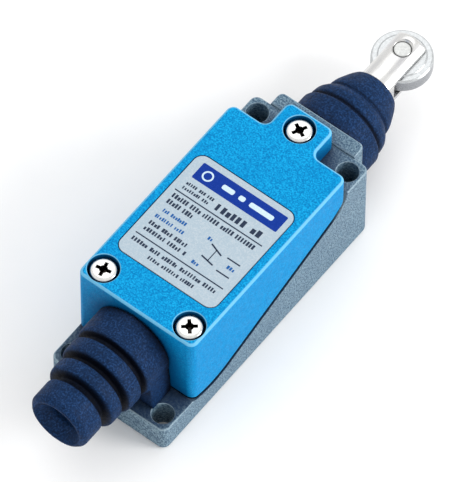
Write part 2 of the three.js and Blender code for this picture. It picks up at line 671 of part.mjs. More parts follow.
piece('plunger_fork', plungerFork(), finishes.steel());
piece('roller', rollerBody(), finishes.steel(), 0, ROLLER_Y, PLUNGER_Z);
piece('roller_pin', rollerPin(), finishes.steel(), 0, ROLLER_Y, PLUNGER_Z);
piece('plunger_clip', plungerClip(), finishes.steel());
piece('plunger_bush', plungerBush(), finishes.brass());
piece('plunger_seal', plungerSeal(), finishes.rubber());
piece('return_spring', coilSpring(SEAT.far + 0.1, CLIP.near - 0.1, 3.9, 0.7, 6), finishes.steel());
piece('spring_seat', springSeat(), finishes.steel());
piece('overtravel_spring', coilSpring(PUSH.head + 1.6, 22.4, 1.35, 0.35, 5), finishes.steel());
piece('push_pin', pushPin(), finishes.steel());

piece('block_case', blockCase(), finishes.block());
piece('block_cover', blockCover(), finishes.block());
piece('contact_carrier', contactCarrier(), finishes.red());
piece('contact_bridge', contactBridge(), finishes.brass());
piece('contact_spring', coilSpring(-4.1, -0.45, 1.1, 0.35, 5), finishes.steel());
piece('carrier_spring', coilSpring(-13.2, CARRIER.near - 0.1, 1.7, 0.4, 5), finishes.steel());
for (const spot of terminalSpots()) {
  const [x, z] = [spot.side * TERMINAL_X, TERMINAL_Z + 0.85];
  piece(`terminal_${spot.name}`, terminal(spot), finishes.brass());
  piece(`terminal_screw_${spot.name}`, panScrew(TERMINAL_HEAD), finishes.steel(), x, spot.y, z);
}
for (const side of bothSides) {
  const name = side < 0 ? 'block_screw_left' : 'block_screw_right';
  const z = BLOCK.high + 1.45;
  piece(name, panScrew(BLOCK_HEAD), finishes.steel(), side * BLOCK_SCREW.x, BLOCK_SCREW.y, z);
}
piece('ground_screw', panScrew(GROUND_HEAD), finishes.steel(), GROUND.x, GROUND.y, FLOOR + 0.05);

export default object;
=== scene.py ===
"""Finished look of the enclosed limit switch: cast base, painted cover, rubber boots and roller plunger.

Lengths are written in millimetres and turned into metres where a mesh is made.
X runs across the switch, Y towards the roller and Z out of the cover.
"""
import json
import math
import random

import bmesh
import bpy
from mathutils import Matrix, Vector


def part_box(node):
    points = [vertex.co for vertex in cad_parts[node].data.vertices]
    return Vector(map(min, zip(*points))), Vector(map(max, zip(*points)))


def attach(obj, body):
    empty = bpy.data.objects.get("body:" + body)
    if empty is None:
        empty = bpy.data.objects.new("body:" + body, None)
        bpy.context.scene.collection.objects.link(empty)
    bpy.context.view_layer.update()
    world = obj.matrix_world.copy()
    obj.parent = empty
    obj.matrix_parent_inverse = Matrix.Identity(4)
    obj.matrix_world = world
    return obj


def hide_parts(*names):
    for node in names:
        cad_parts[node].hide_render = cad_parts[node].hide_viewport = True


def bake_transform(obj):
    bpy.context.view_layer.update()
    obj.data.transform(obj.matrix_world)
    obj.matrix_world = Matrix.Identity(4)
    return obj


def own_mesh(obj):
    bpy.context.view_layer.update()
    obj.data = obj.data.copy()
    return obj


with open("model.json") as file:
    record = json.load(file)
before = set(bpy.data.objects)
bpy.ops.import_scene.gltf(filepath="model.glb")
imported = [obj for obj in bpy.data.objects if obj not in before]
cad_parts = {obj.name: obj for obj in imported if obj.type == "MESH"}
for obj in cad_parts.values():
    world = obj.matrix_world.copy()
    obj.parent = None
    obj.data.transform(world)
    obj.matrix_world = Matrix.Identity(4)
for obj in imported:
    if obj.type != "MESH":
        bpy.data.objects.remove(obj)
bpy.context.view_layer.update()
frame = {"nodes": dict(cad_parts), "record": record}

MM = 0.001
FULL_TURN = math.tau
MERGE_GAP = 0.002
TOUCH = 0.01
SHARP_ANGLE = 0.6
BEYOND = 40


def span(node):
    """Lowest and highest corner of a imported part, in millimetres."""
    low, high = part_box(node)
    return low / MM, high / MM


# ---- driving sizes, in millimetres ----
base_low, base_high = span("base_housing")
cover_low, cover_high = span("front_cover")
plate_low, plate_high = span("nameplate")
fork_low, fork_high = span("plunger_fork")
roller_low, roller_high = span("roller")
HALF_WIDTH = base_high.x
BASE_HALF = -base_low.y
NECK_FAR = base_high.y
COLLAR_TOP = base_high.z
COVER_NEAR = cover_low.y
COVER_TOP = cover_high.z
TONGUE_END = cover_high.y
COVER_FAR = 24.8
TONGUE_HALF = 5.6
EAR_LOW = 7.0
EAR_HIGH = 21.2
CORNER_R = 1.6
WALL = 2.4
FLOOR = 3.4
CAVITY_X = 11.4
CAVITY_FAR = 17.5
COLLAR_X = 10.2
COLLAR_FAR = 35.6
NECK_R = 7.2
STEM_R = 3.0
BUSH_NEAR = 25.0
BUSH_HOLE_R = 4.95
HOLE_X = 11.0
HOLE_Y = 29.0
HOLE_R = 2.25
RECESS_R = 3.2
RECESS_SEAT = COVER_TOP - 3.0
SCREW_SPOTS = {"left": (-10.4, -19.9), "right": (10.4, -19.9), "top": (0.0, 28.0)}
SCREW_HOLE_R = 1.6
HEAD_R = 2.95
HEAD_H = 2.65
CABLE_Z = 16.6
CABLE_END = span("cable_boot")[0].y
CABLE_INNER = span("cable_boot")[1].y
CABLE_HOLE_R = 3.3
MOUTH_R = 5.2
PLUNGER_Z = (fork_low.z + fork_high.z) / 2
FORK_R = (fork_high.z - fork_low.z) / 2
FORK_END = fork_high.y
ROLLER_Y = (roller_low.y + roller_high.y) / 2
ROLLER_R = (roller_high.y - roller_low.y) / 2
PIN_R = 1.75
FORK_X = 3.25
LIP_NEAR = 51.2
LIP_FAR = 52.5

AXIS_Y = Vector((0, 1, 0))
AXIS_Z = Vector((0, 0, 1))


# ---- workshop: how pieces are made ----
def clear_selection():
    if bpy.context.object and bpy.context.object.mode != "OBJECT":
        bpy.ops.object.mode_set(mode="OBJECT")
    bpy.ops.object.select_all(action="DESELECT")


def pick(piece):
    clear_selection()
    bpy.context.view_layer.objects.active = piece
    piece.select_set(True)


def edit(piece, kind="VERT"):
    """Opens a piece's mesh, choosing by points, edges or faces, with everything chosen."""
    if bpy.context.active_object != piece:
        pick(piece)
    bpy.ops.object.mode_set(mode="EDIT")
    bpy.ops.mesh.select_mode(type=kind)
    bpy.ops.mesh.select_all(action="SELECT")


def settle(piece):
    """Writes the piece's place into its mesh, so that it sits at the origin."""
    pick(piece)
    bpy.ops.object.transform_apply(location=True, rotation=True, scale=True)


def tidy_mesh(piece):
    """Merges doubled points and turns every face outwards."""
    pick(piece)
    edit(piece)
    bpy.ops.mesh.remove_doubles(threshold=MERGE_GAP * MM)
    bpy.ops.mesh.normals_make_consistent(inside=False)
    bpy.ops.object.mode_set(mode="OBJECT")


def block(name, x0, x1, y0, y1, z0, z1):
    clear_selection()
    middle = Vector(((x0 + x1) / 2, (y0 + y1) / 2, (z0 + z1) / 2)) * MM
    bpy.ops.mesh.primitive_cube_add(size=1, location=middle)
    piece = bpy.context.active_object
    piece.name = name
    piece.scale = Vector((x1 - x0, y1 - y0, z1 - z0)) * MM
    settle(piece)
    return piece


def bar(name, centre, direction, start, end, radius, sides=48):
    """Round bar along Y or Z, from start to end on that axis."""
    clear_selection()
    along = direction * ((start + end) / 2)
    turn = (math.pi / 2, 0, 0) if direction == AXIS_Y else (0, 0, 0)
    bpy.ops.mesh.primitive_cylinder_add(
        vertices=sides, radius=radius * MM, depth=(end - start) * MM,
        location=(Vector(centre) + along) * MM, rotation=turn)
    piece = bpy.context.active_object
    piece.name = name
    settle(piece)
    return piece


def drawn_line(name, points):
    """A wire drawn through points, by pulling one point out to the next; it is left in edit mode."""
    clear_selection()
    bpy.ops.mesh.primitive_plane_add(size=MM)
    piece = bpy.context.active_object
    piece.name = name
    edit(piece)
    bpy.ops.mesh.merge(type="CENTER")
    here = Vector((0, 0, 0))
    for number, point in enumerate(points):
        step = Vector(point) * MM - here
        here = Vector(point) * MM
        if number == 0:
            bpy.ops.transform.translate(value=step)
        else:
            bpy.ops.mesh.extrude_vertices_move(TRANSFORM_OT_translate={"value": step})
    bpy.ops.mesh.select_all(action="SELECT")
    return piece


def slab(name, points, push):
    """A closed outline filled in and pulled out by push."""
    piece = drawn_line(name, [*points, points[0]])
    bpy.ops.mesh.remove_doubles(threshold=MERGE_GAP * MM)
    bpy.ops.mesh.select_all(action="SELECT")
    bpy.ops.mesh.edge_face_add()
    bpy.ops.mesh.select_all(action="SELECT")
    bpy.ops.mesh.extrude_region_move(TRANSFORM_OT_translate={"value": Vector(push) * MM})
    bpy.ops.mesh.select_all(action="SELECT")
    bpy.ops.mesh.normals_make_consistent(inside=False)
    bpy.ops.object.mode_set(mode="OBJECT")
    return piece


def turned(name, profile, direction, centre, steps=96):
    """Spins an outline of (radius, distance along) all round an axis through centre."""
    start = Vector(centre)
    points = [start + Vector((radius, 0, 0)) + direction * along for radius, along in profile]
    piece = drawn_line(name, points)
    bpy.ops.mesh.spin(steps=steps, angle=FULL_TURN, center=start * MM, axis=direction)
    bpy.ops.object.mode_set(mode="OBJECT")
    tidy_mesh(piece)
    return piece


def eased(points, radius, closed=False, steps=4):
    """An outline with each corner rounded by a short curve."""
    points = [Vector(point) for point in points]
    result = []
    last = len(points) - 1
    for number, corner in enumerate(points):
        if not closed and number in (0, last):
            result.append(corner)
            continue
        before = points[number - 1] - corner
        after = points[(number + 1) % len(points)] - corner
        start = corner + before.normalized() * min(radius, before.length * 0.45)
        end = corner + after.normalized() * min(radius, after.length * 0.45)
        for step in range(steps + 1):
            t = step / steps
            result.append(start * (1 - t) ** 2 + corner * 2 * t * (1 - t) + end * t * t)
    return result


def curve(start, pull, end, steps=10):
    """Points of a curve from start to end that leans towards pull."""
    start, pull, end = Vector(start), Vector(pull), Vector(end)
    return [
        start * (1 - t) ** 2 + pull * 2 * t * (1 - t) + end * t * t
        for t in (step / steps for step in range(steps + 1))
    ]


def apply(piece, kind, **settings):
    """Adds one modifier and applies it."""
    pick(piece)
    modifier = piece.modifiers.new(kind.lower(), kind)
    for key, value in settings.items():
        setattr(modifier, key, value)
    bpy.ops.object.modifier_apply(modifier=modifier.name)


def remove(*pieces):
    for piece in pieces:
        bpy.data.objects.remove(piece, do_unlink=True)


def cut_away(piece, *tools):
    for tool in tools:
        apply(piece, "BOOLEAN", operation="DIFFERENCE", object=tool, solver="EXACT")
        remove(tool)


def weld(piece, *others):
    for other in others:
        apply(piece, "BOOLEAN", operation="UNION", object=other, solver="EXACT")
        remove(other)


def gather(name, pieces):
    """Several meshes as one object, with nothing cut."""
    pick(pieces[0])
    for piece in pieces[1:]:
        piece.select_set(True)
    bpy.ops.object.join()
    piece = bpy.context.active_object
    piece.name = name
    return piece


def round_edges(piece, radius, segments, chosen):
    """Rounds each edge for which chosen(one end, other end, edge) holds, with ends in millimetres."""
    pick(piece)
    edit(piece, "EDGE")
    bpy.ops.mesh.select_all(action="DESELECT")
    mesh = bmesh.from_edit_mesh(piece.data)
    for edge in mesh.edges:
        a, b = (vert.co / MM for vert in edge.verts)
        if chosen(a, b, edge):
            edge.select_set(True)
    bmesh.update_edit_mesh(piece.data)
    bpy.ops.mesh.bevel(offset=radius * MM, segments=segments, affect="EDGES", clamp_overlap=True)
    bpy.ops.object.mode_set(mode="OBJECT")


def upright(a, b, edge):
    return abs(a.x - b.x) < TOUCH and abs(a.y - b.y) < TOUCH and abs(a.z - b.z) > TOUCH


def level_at(height):
    """Chooses the sharp edges that lie at one height."""
    def chosen(a, b, edge):
        flat = abs(a.z - height) < TOUCH and abs(b.z - height) < TOUCH
        return flat and len(edge.link_faces) == 2 and edge.calc_face_angle() > SHARP_ANGLE
    return chosen


def smooth(piece, degrees=35):
    pick(piece)
    bpy.ops.object.shade_smooth_by_angle(angle=math.radians(degrees))


def smooth_flats(piece):
    """Smooth shading that keeps large flat faces flat."""
    smooth(piece)
    apply(piece, "WEIGHTED_NORMAL", keep_sharp=True, weight=100)


def finished(piece, material, body, slot, *nodes):
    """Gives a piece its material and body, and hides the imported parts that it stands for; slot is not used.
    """
    piece.data.materials.clear()
    piece.data.materials.append(material)
    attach(piece, body)
    if nodes:
        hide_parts(*nodes)


# ---- finishes ----
class Finish:
    """One material with a principled shader, whose patterns follow the piece's own coordinates."""

    def __init__(self, name, colour, roughness, metallic=0.0, specular=0.5):
        self.material = bpy.data.materials.new(name)
        self.material.use_nodes = True
        self.nodes = self.material.node_tree.nodes
        self.links = self.material.node_tree.links
        self.shader = self.nodes["Principled BSDF"]
        self.shader.inputs["Base Color"].default_value = (*colour, 1)
        self.shader.inputs["Roughness"].default_value = roughness
        self.shader.inputs["Metallic"].default_value = metallic
        self.shader.inputs["Specular IOR Level"].default_value = specular
        self.material.diffuse_color = (*colour, 1)
        self.place = self.nodes.new("ShaderNodeTexCoord").outputs["Object"]
        self.colour = self.nodes.new("ShaderNodeRGB").outputs[0]
        self.colour.default_value = (*colour, 1)
        self.height = None

    def grain(self, size, detail=2.0, stretch=(1, 1, 1)):
        """Noise whose blobs are about size millimetres across."""
        mapping = self.nodes.new("ShaderNodeMapping")
        mapping.inputs["Scale"].default_value = stretch
        self.links.new(self.place, mapping.inputs["Vector"])
        noise = self.nodes.new("ShaderNodeTexNoise")
        noise.inputs["Scale"].default_value = 1 / (size * MM)
        noise.inputs["Detail"].default_value = detail
        self.links.new(mapping.outputs["Vector"], noise.inputs["Vector"])
        return noise.outputs["Fac"]

    def between(self, value, low, high, to_low=0.0, to_high=1.0):
        spread = self.nodes.new("ShaderNodeMapRange")
        spread.inputs["From Min"].default_value = low
        spread.inputs["From Max"].default_value = high
        spread.inputs["To Min"].default_value = to_low
        spread.inputs["To Max"].default_value = to_high
        self.links.new(value, spread.inputs["Value"])
        return spread.outputs["Result"]

    def tint(self, share, colour):
        """Mixes another colour in where share is high."""
        mix = self.nodes.new("ShaderNodeMix")
        mix.data_type = "RGBA"
        self.links.new(share, mix.inputs["Factor"])
        self.links.new(self.colour, mix.inputs[6])
        mix.inputs[7].default_value = (*colour, 1)
        self.colour = mix.outputs[2]
        self.links.new(self.colour, self.shader.inputs["Base Color"])

    def rough(self, value, low, high):
        self.links.new(self.between(value, 0.3, 0.7, low, high), self.shader.inputs["Roughness"])

    def bump(self, value, depth, strength=1.0):
        """Adds relief of about depth millimetres."""
        bump = self.nodes.new("ShaderNodeBump")
        bump.inputs["Strength"].default_value = strength
        bump.inputs["Distance"].default_value = depth * MM
        self.links.new(value, bump.inputs["Height"])
        if self.height:
            self.links.new(self.height, bump.inputs["Normal"])
        self.height = bump.outputs["Normal"]
        self.links.new(self.height, self.shader.inputs["Normal"])

    def below(self, height, start, end):
        """A share that rises from 0 to 1 between two depths under a height."""
        parts = self.nodes.new("ShaderNodeSeparateXYZ")
        self.links.new(self.place, parts.inputs["Vector"])
        return self.between(parts.outputs["Z"], (height - start) * MM, (height - end) * MM)

    def product(self, first, second, power):
        """Two shares multiplied, reaching power where both are 1."""
        both = self.nodes.new("ShaderNodeMath")
        both.operation = "MULTIPLY"
        self.links.new(first, both.inputs[0])
        self.links.new(second, both.inputs[1])
        return self.between(both.outputs["Value"], 0.0, 1.0, 0.0, power)

    def slope(self, start, end, power=1.0):
        """A share that follows the slope, where 0 is an upright wall and 1 a level top."""
        parts = self.nodes.new("ShaderNodeSeparateXYZ")
        self.links.new(self.nodes.new("ShaderNodeNewGeometry").outputs["Normal"], parts.inputs["Vector"])
        return self.between(parts.outputs["Z"], start, end, 0.0, power)

    def rim_highlight(self, power):
        """A share that is high on rounded rims, between level tops and upright walls, where a painted
        highlight is laid.
        """
        return self.product(self.slope(0.12, 0.4), self.slope(0.985, 0.9), power)

    def openness(self, reach):
        """How open a spot is within reach millimetres, where 1 has nothing near it."""
        shade = self.nodes.new("ShaderNodeAmbientOcclusion")
        shade.samples = 8
        shade.inputs["Distance"].default_value = reach * MM
        return shade.outputs["AO"]

    def shade_on_tops(self, reach, power):
        """A share that is high on level tops beside something taller, where painted shade is laid."""
        close = self.between(self.openness(reach), 0.9, 0.55)
        return self.product(close, self.slope(0.8, 0.95), power)

    def crevice_shade(self, reach, power, high, low):
        """A share that is high in narrow grooves and beside nearby parts, where painted shade is laid."""
        return self.between(self.openness(reach), high, low, 0.0, power)

    def edges(self, radius, power):
        """A share that is high along sharp edges, where a dark line of painted shade is laid."""
        bevel = self.nodes.new("ShaderNodeBevel")
        bevel.samples = 4
        bevel.inputs["Radius"].default_value = radius * MM
        flat = self.nodes.new("ShaderNodeNewGeometry")
        dot = self.nodes.new("ShaderNodeVectorMath")
        dot.operation = "DOT_PRODUCT"
        self.links.new(bevel.outputs["Normal"], dot.inputs[0])
        self.links.new(flat.outputs["True Normal"], dot.inputs[1])
        return self.between(dot.outputs["Value"], 0.98, 0.75, 0.0, power)


def cover_enamel():
    finish = Finish("cover_enamel", (0.0, 0.24, 0.54), 0.5, specular=0.06)
    speck = finish.grain(0.3, 2.0)
    finish.tint(finish.between(speck, 0.48, 0.66, 0.0, 0.7), (0.01, 0.44, 0.80))
    finish.tint(finish.between(speck, 0.48, 0.32, 0.0, 0.7), (0.0, 0.12, 0.34))
    finish.tint(finish.between(finish.grain(9, 1.0), 0.35, 0.75, 0.0, 0.25), (0.0, 0.20, 0.50))
    # painted shade: upright walls a little darker than the level top
    finish.tint(finish.slope(0.4, 0.05, 0.45), (0.0, 0.19, 0.46))
    # painted shadow: dark navy where the cover is close to the cable boot and in its recesses
    finish.tint(finish.crevice_shade(7, 0.85, 0.95, 0.6), (0.0, 0.045, 0.15))
    # painted highlight: lighter blue on the rounded rims of the top and the screw recesses
    finish.tint(finish.rim_highlight(0.8), (0.18, 0.50, 0.72))
    finish.rough(finish.grain(1.2), 0.42, 0.58)
    finish.bump(finish.grain(0.4, 3.0), 0.035)
    return finish.material


def base_enamel():
    finish = Finish("base_enamel", (0.095, 0.170, 0.235), 0.5, metallic=0.1, specular=0.25)
    speck = finish.grain(0.36, 2.5)
    finish.tint(finish.between(speck, 0.49, 0.62, 0.0, 0.85), (0.25, 0.36, 0.43))
    finish.tint(finish.between(speck, 0.47, 0.36, 0.0, 0.85), (0.025, 0.06, 0.115))
    finish.tint(finish.between(finish.grain(7, 1.0), 0.4, 0.75, 0.0, 0.3), (0.07, 0.13, 0.20))
    # painted highlight: paler grey on the rounded rims of the casting
    finish.tint(finish.rim_highlight(0.5), (0.34, 0.44, 0.50))
    # painted shadow: dark navy on the ear tops beside the cover and the cable boot
    finish.tint(finish.shade_on_tops(12, 0.9), (0.012, 0.03, 0.075))
    finish.rough(finish.grain(0.8), 0.42, 0.6)
    finish.bump(finish.grain(0.35, 3.0), 0.04)
    return finish.material


def boot_rubber(name="boot_rubber", colour=(0.0035, 0.021, 0.070), specular=0.1):
    finish = Finish(name, colour, 0.6, specular=specular)
    paler = tuple(value * 2.1 + 0.006 for value in colour)
    darker = tuple(value * 0.4 for value in colour)
    speck = finish.grain(0.36, 2.0)
    finish.tint(finish.between(speck, 0.5, 0.66, 0.0, 0.8), paler)
    finish.tint(finish.between(speck, 0.46, 0.34, 0.0, 0.7), darker)
    finish.tint(finish.between(finish.grain(4, 2.0), 0.4, 0.7, 0.0, 0.3), darker)
    # painted shade: near-black in the grooves between the rings and in other tight hollows
    finish.tint(finish.crevice_shade(3.2, 0.97, 0.92, 0.6), (0.0008, 0.0015, 0.005))
    finish.rough(finish.grain(0.9), 0.5, 0.7)
    finish.bump(finish.grain(0.36, 2.0), 0.03)
    finish.bump(finish.grain(2.6, 1.0), 0.05, 0.5)
    return finish.material


def bright_nickel(name="bright_nickel", roughness=0.2, colour=(0.80, 0.80, 0.78), edge=0.0):
    """Plated metal, given back as a finish so that more can be laid over it."""
    finish = Finish(name, colour, roughness, metallic=1.0)
    darker = tuple(value * 0.8 for value in colour)
    finish.tint(finish.between(finish.grain(0.8), 0.4, 0.65, 0.0, 0.6), darker)
    finish.tint(finish.between(finish.grain(0.34, 2.0), 0.52, 0.66, 0.0, 0.5), darker)
    if edge:
        # painted shade: a dark line along the sharp edges
        finish.tint(finish.edges(0.22, edge), (0.12, 0.125, 0.13))
    finish.rough(finish.grain(0.35, 3.0), roughness * 0.75, roughness * 1.5)
    finish.bump(finish.grain(0.5, 3.0), 0.006)
    return finish


def screw_nickel():
    """Nickel with painted shade below the top of the head: the cross recess and the side of the head in its
    recess.
    """
    finish = bright_nickel("screw_nickel")
    # painted shade in the cross recess and round the head where it sits in the cover's recess
    recess_shade = finish.below(RECESS_SEAT + HEAD_H, 0.1, 0.45)
    finish.tint(recess_shade, (0.035, 0.028, 0.025))
    return finish


def drawn_steel():
    """Steel bar with fine lines along its length."""
    finish = Finish("drawn_steel", (0.72, 0.715, 0.70), 0.26, metallic=1.0)
    lines = finish.grain(0.14, 2.0, (1, 0.06, 1))
    finish.tint(finish.between(lines, 0.4, 0.7, 0.0, 0.6), (0.58, 0.58, 0.58))
    broad = finish.grain(1.6, 2.0, (1, 0.25, 1))
    finish.tint(finish.between(broad, 0.45, 0.65, 0.0, 0.5), (0.50, 0.50, 0.53))
    # painted shade: a dark line along the sharp edges of the fork
    finish.tint(finish.edges(0.24, 0.9), (0.10, 0.10, 0.105))
    finish.rough(lines, 0.2, 0.36)
    finish.bump(lines, 0.003)
    return finish.material


def label_foil():
    finish = Finish("label_foil", (0.36, 0.45, 0.52), 0.42, metallic=0.1, specular=0.2)
    finish.tint(finish.between(finish.grain(0.3, 2.0), 0.45, 0.65, 0.0, 0.6), (0.48, 0.54, 0.585))
    finish.rough(finish.grain(1.5), 0.32, 0.45)
    finish.bump(finish.grain(0.4), 0.004)
    return finish.material


def print_ink(name, colour):
    finish = Finish(name, colour, 0.5, specular=0.1)
    paler = tuple(min(1.0, value * 1.4 + 0.01) for value in colour)
    finish.tint(finish.between(finish.grain(0.25), 0.45, 0.75, 0.0, 0.5), paler)
    finish.bump(finish.grain(0.3), 0.003)
    return finish.material


def bush_brass():
    finish = Finish("bush_brass", (0.62, 0.43, 0.16), 0.3, metallic=1.0)
    finish.tint(finish.between(finish.grain(1.5, 3.0), 0.4, 0.7, 0.0, 0.6), (0.50, 0.33, 0.12))
    finish.rough(finish.grain(0.5, 3.0), 0.24, 0.42)
    finish.bump(finish.grain(0.3), 0.006)
    return finish.material


def moulded_plastic(name, colour):
    finish = Finish(name, colour, 0.5)
    darker = tuple(value * 0.65 for value in colour)
    finish.tint(finish.between(finish.grain(2.0, 3.0), 0.4, 0.7, 0.0, 0.5), darker)
    finish.rough(finish.grain(0.6), 0.42, 0.6)
    finish.bump(finish.grain(0.25, 2.0), 0.01)
    return finish.material


# ---- camera ----
AZIMUTH = math.radians(37.25)
ELEVATION = math.radians(58.33)
ROLL = math.radians(0.55)
DISTANCE = 1693.0
LENS = 666.2
AIM = Vector((0, -0.25, 10))
AIM_RIGHT = 5.307
AIM_UP = 6.407


def add_camera():
    back = Vector((
        math.sin(AZIMUTH) * math.cos(ELEVATION),
        -math.cos(AZIMUTH) * math.cos(ELEVATION),
        math.sin(ELEVATION)))
    level = Vector((math.cos(AZIMUTH), math.sin(AZIMUTH), 0))
    rise = back.cross(level)
    right = level * math.cos(ROLL) + rise * math.sin(ROLL)
    up = rise * math.cos(ROLL) - level * math.sin(ROLL)
    place = (AIM + right * AIM_RIGHT + up * AIM_UP + back * DISTANCE) * MM
    camera = bpy.data.objects.new("camera", bpy.data.cameras.new("camera"))
    bpy.context.scene.collection.objects.link(camera)
    turn = Matrix((right, up, back)).transposed().to_4x4()
    camera.matrix_world = Matrix.Translation(place) @ turn
    camera.data.sensor_fit = "HORIZONTAL"
    camera.data.sensor_width = 36
    camera.data.lens = LENS
    camera.data.clip_start = 0.1
    camera.data.clip_end = 10
    bpy.context.scene.camera = camera


# ---- studio ----
def soft_light(name, direction, distance, size, power):
    lamp = bpy.data.lights.new(name, "AREA")
    lamp.shape = "SQUARE"
    lamp.size = size
    lamp.energy = power
    light = bpy.data.objects.new(name, lamp)
    bpy.context.scene.collection.objects.link(light)
    towards = Vector(direction).normalized()
    turn = towards.to_track_quat("Z", "Y").to_matrix().to_4x4()
    light.matrix_world = Matrix.Translation(towards * distance) @ turn


def add_studio():
    world = bpy.data.worlds.new("studio")
    world.use_nodes = True
    world.node_tree.nodes["Background"].inputs["Color"].default_value = (1, 1, 1, 1)
    world.node_tree.nodes["Background"].inputs["Strength"].default_value = 1.0
    bpy.context.scene.world = world
    bpy.context.scene.view_settings.view_transform = "Standard"
    soft_light("key", (0.85, 0.42, 0.5), 1.0, 0.4, 5.5)
    soft_light("overhead", (-0.32, 0.42, 0.85), 1.1, 0.8, 1.5)
    clear_selection()
    bpy.ops.mesh.primitive_plane_add(size=6)
    floor = bpy.context.active_object
    floor.name = "floor"
    paper = Finish("floor_paper", (0.93, 0.93, 0.93), 0.8, specular=0.1)
    paper.tint(paper.between(paper.grain(6, 2.0), 0.4, 0.7, 0.0, 0.4), (0.91, 0.915, 0.92))
    floor.data.materials.append(paper.material)


# ---- shared outlines ----
def parting_line(dy=0.0, dz=0.0):
    """Side view of the joint between base and cover, as (y, z): a dip, a straight ramp, a turn up."""
    dip = curve((-23.6, 6.9), (-17.5, 4.6), (-12.0, 6.3))
    rise = curve((20.0, 16.15), (24.1, 17.4), (COVER_FAR + 0.5, EAR_HIGH))
    return [point + Vector((dy, dz)) for point in (*dip, *rise)]


def side_slab(name, outline, half):
    """A solid with a side outline of (y, z), reaching half to each side."""
    return slab(name, [(-half, y, z) for y, z in outline], (2 * half, 0, 0))


def arch_slab(name, y0, y1, radius, foot, flare=0.0):
    """Round-topped arch about the cable axis, whose legs run down to foot and may flare."""
    top = [
        (radius * math.cos(angle), CABLE_Z + radius * math.sin(angle))
        for angle in (math.pi * step / 32 for step in range(33))
    ]
    outline = [(radius + flare, foot), *top, (-radius - flare, foot)]
    return slab(name, [(x, y0, z) for x, z in outline], (0, y1 - y0, 0))


def flared_hole(name, x, y, bottom, rim, radius, ease):
    """Tool for an upright hole with a rounded mouth at height rim."""
    mouth = [
        (radius + ease * (1 - math.cos(angle)), rim - ease + ease * math.sin(angle))
        for angle in (math.pi / 2 * step / 4 for step in range(5))
    ]
    outer = radius + ease
    profile = [(0, bottom), (radius, bottom), *mouth, (outer + 0.6, rim + 0.6), (0, rim + 0.6)]
    return turned(name, profile, AXIS_Z, (x, y, 0), 64)


# ---- cast base ----
CAST_EDGE = 0.4
HOLE_EASE = 0.22
GROOVE_NEAR = 36.6
GROOVE_FAR = 38.2
GROOVE_DEPTH = 0.7
BOSS_X = 8.0
RIB_X = 9.0
INTO_WALL_X = 12.5
RIB_HEIGHT = 12.0
RIB_WIDE = 1.5
RIB_PLACES = (10.4, 13.3)
SMALL_THREADS = ((-8.2, -4.6), (8.2, -4.6), (-5.5, -16.9))
SMALL_THREAD_R = 1.4
THREAD_BOTTOM = {"left": 1.4, "right": 1.4, "top": 16.6}


